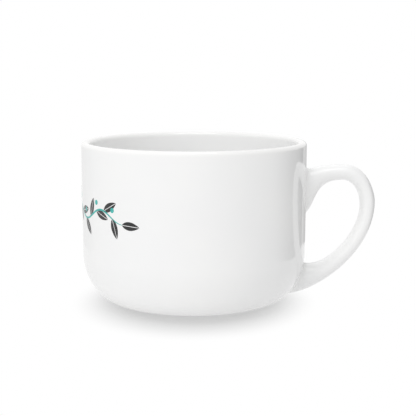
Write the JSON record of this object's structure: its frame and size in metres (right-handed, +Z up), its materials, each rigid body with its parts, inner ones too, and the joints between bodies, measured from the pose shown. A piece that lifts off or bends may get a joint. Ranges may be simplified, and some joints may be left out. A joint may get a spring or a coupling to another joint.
{
  "type": "latte mug",
  "caption": "Wide low latte mug: glazed ceramic bowl on a turned foot ring, with an ear-shaped strap handle luted on at an upper and a lower root.",
  "frame": {"origin": "centre of the mug's box at table height, between the bowl's far side and the bow of the handle", "axes": "+X from the bowl towards the handle, +Z up from the table to the lip"},
  "size_m": [0.1542, 0.118, 0.085],
  "materials": {
    "body_glaze": "clear gloss glaze over a white body",
    "handle_glaze": "clear gloss glaze over a white body",
    "slip_glaze": "gloss glaze pooled over the luting slip"
  },
  "bodies": {
    "root": {"mug_body": "body_glaze", "handle": "handle_glaze", "upper_slip_joint": "slip_glaze", "lower_slip_joint": "slip_glaze"}
  },
  "joints": []
}
